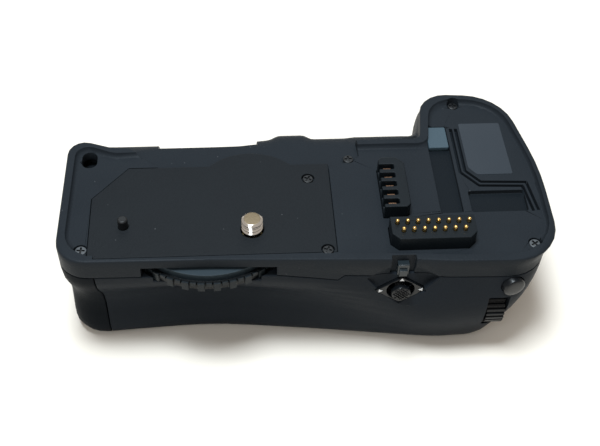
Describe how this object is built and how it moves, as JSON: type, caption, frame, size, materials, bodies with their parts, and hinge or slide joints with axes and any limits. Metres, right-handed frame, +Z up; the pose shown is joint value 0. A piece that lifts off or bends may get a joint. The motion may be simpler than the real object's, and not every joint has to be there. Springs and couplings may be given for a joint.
{
  "type": "camera battery grip",
  "caption": "Vertical battery grip for a camera: ribbed deck with mounting screw and connectors, hand wheel, selector, dials, release and a slide-out cell tray.",
  "frame": {"origin": "axis of the mounting screw at the plane of the deck", "axes": "+X to the right as the user sees it, +Y to the front of the camera, +Z up out of the deck"},
  "size_m": [0.1488, 0.0747, 0.0488],
  "materials": {
    "deck_plastic": "fine spark texture",
    "body_plastic": "satin",
    "cover_plastic": "satin",
    "plate_metal": "matt black",
    "grip_rubber": "matt",
    "screw_steel": "nickel plated",
    "brass": "plain",
    "wheel_rubber": "matt",
    "carrier_metal": "cast",
    "black_metal": "satin black",
    "connector_plastic": "satin",
    "contact_gold": "gold plated",
    "contact_copper": "copper",
    "grey_plastic": "matt",
    "control_plastic": "satin",
    "inner_plastic": "plain",
    "steel": "ground",
    "board": "lacquered",
    "bright_steel": "zinc plated"
  },
  "bodies": {
    "grip": {"upper_shell": "deck_plastic", "lower_shell": "body_plastic", "mount_plate": "plate_metal", "front_grip": "grip_rubber", "wheel_carrier": "carrier_metal", "locating_pin": "black_metal", "power_connector": "connector_plastic", "power_contacts": "contact_copper", "signal_connector": "connector_plastic", "slot_insert": "grey_plastic", "selector_bezel": "control_plastic", "selector_base": "inner_plastic", "selector_tab": "black_metal", "rear_dial_shaft": "steel", "front_dial_shaft": "steel", "switches": "inner_plastic", "switch_plates": "board", "chamber_contacts": "bright_steel", "main_board": "board", "tripod_socket": "bright_steel", "deck_screws": "black_metal", "end_screws": "bright_steel", "base_screws": "black_metal", "inner_screws": "bright_steel"},
    "wheel": {"attachment_wheel": "wheel_rubber"},
    "screw": {"mounting_screw": "screw_steel", "screw_pinion": "brass"},
    "pins": {"signal_pins": "contact_gold"},
    "gimbal": {"selector_gimbal": "steel"},
    "stem": {"selector_stem": "inner_plastic"},
    "cap": {"selector_cap": "control_plastic"},
    "focus": {"focus_button": "control_plastic"},
    "thumb_dial": {"rear_dial": "control_plastic"},
    "finger_dial": {"front_dial": "control_plastic"},
    "shutter": {"shutter_button": "control_plastic"},
    "collar": {"lock_collar": "control_plastic"},
    "tray": {"battery_tray": "inner_plastic", "battery_cover": "cover_plastic", "tray_contacts": "bright_steel"},
    "latch": {"cover_latch": "control_plastic"}
  },
  "joints": [
    {"name": "wheel_spin", "type": "hinge", "parent": "grip", "child": "wheel", "pos_m": [-0.013, 0.01095, -0.0052], "axis": [0, 0, 1], "continuous": true},
    {"name": "screw_spin", "type": "hinge", "parent": "grip", "child": "screw", "pos_m": [0, 0, 0], "axis": [0, 0, 1], "continuous": true},
    {"name": "pins_press", "type": "slide", "parent": "grip", "child": "pins", "axis": [0, 0, -1], "range_m": [0, 0.0008], "stiffness_N_per_m": 500, "springref_m": -0.0005},
    {"name": "selector_pitch", "type": "hinge", "parent": "grip", "child": "gimbal", "pos_m": [0.0438, -0.0088, -0.012], "axis": [1, 0, 0], "range_deg": [-6, 6], "stiffness_Nm_per_rad": 0.05},
    {"name": "selector_yaw", "type": "hinge", "parent": "gimbal", "child": "stem", "pos_m": [0.0438, -0.0088, -0.012], "axis": [0, 0, 1], "range_deg": [-6, 6], "stiffness_Nm_per_rad": 0.05},
    {"name": "selector_press", "type": "slide", "parent": "stem", "child": "cap", "axis": [0, 1, 0], "range_m": [0, 0.0003], "stiffness_N_per_m": 400, "springref_m": -0.0005},
    {"name": "focus_press", "type": "slide", "parent": "grip", "child": "focus", "axis": [-0.2419, 0.9703, 0], "range_m": [0, 0.0006], "stiffness_N_per_m": 400, "springref_m": -0.0005},
    {"name": "thumb_dial_spin", "type": "hinge", "parent": "grip", "child": "thumb_dial", "pos_m": [0.0742, -0.01, -0.0245], "axis": [1, 0, 0], "continuous": true},
    {"name": "finger_dial_spin", "type": "hinge", "parent": "grip", "child": "finger_dial", "pos_m": [0.0699, 0.0417, -0.028], "axis": [1, 0, 0], "continuous": true},
    {"name": "shutter_press", "type": "slide", "parent": "grip", "child": "shutter", "axis": [-0.9513, -0.1677, 0.2588], "range_m": [0, 0.001], "stiffness_N_per_m": 400, "springref_m": -0.0005},
    {"name": "collar_turn", "type": "hinge", "parent": "grip", "child": "collar", "pos_m": [0.0851, 0.036, -0.0164], "axis": [0.9513, 0.1677, -0.2588], "range_deg": [0, 35]},
    {"name": "tray_slide", "type": "slide", "parent": "grip", "child": "tray", "axis": [-1, 0, 0], "range_m": [0, 0.106]},
    {"name": "latch_turn", "type": "hinge", "parent": "tray", "child": "latch", "pos_m": [-0.0515, 0.033, -0.0253], "axis": [1, 0, 0], "range_deg": [0, 90]}
  ],
  "couplings": [
    {"joint": "screw_spin", "follows": "wheel_spin", "ratio": 3.8333}
  ]
}
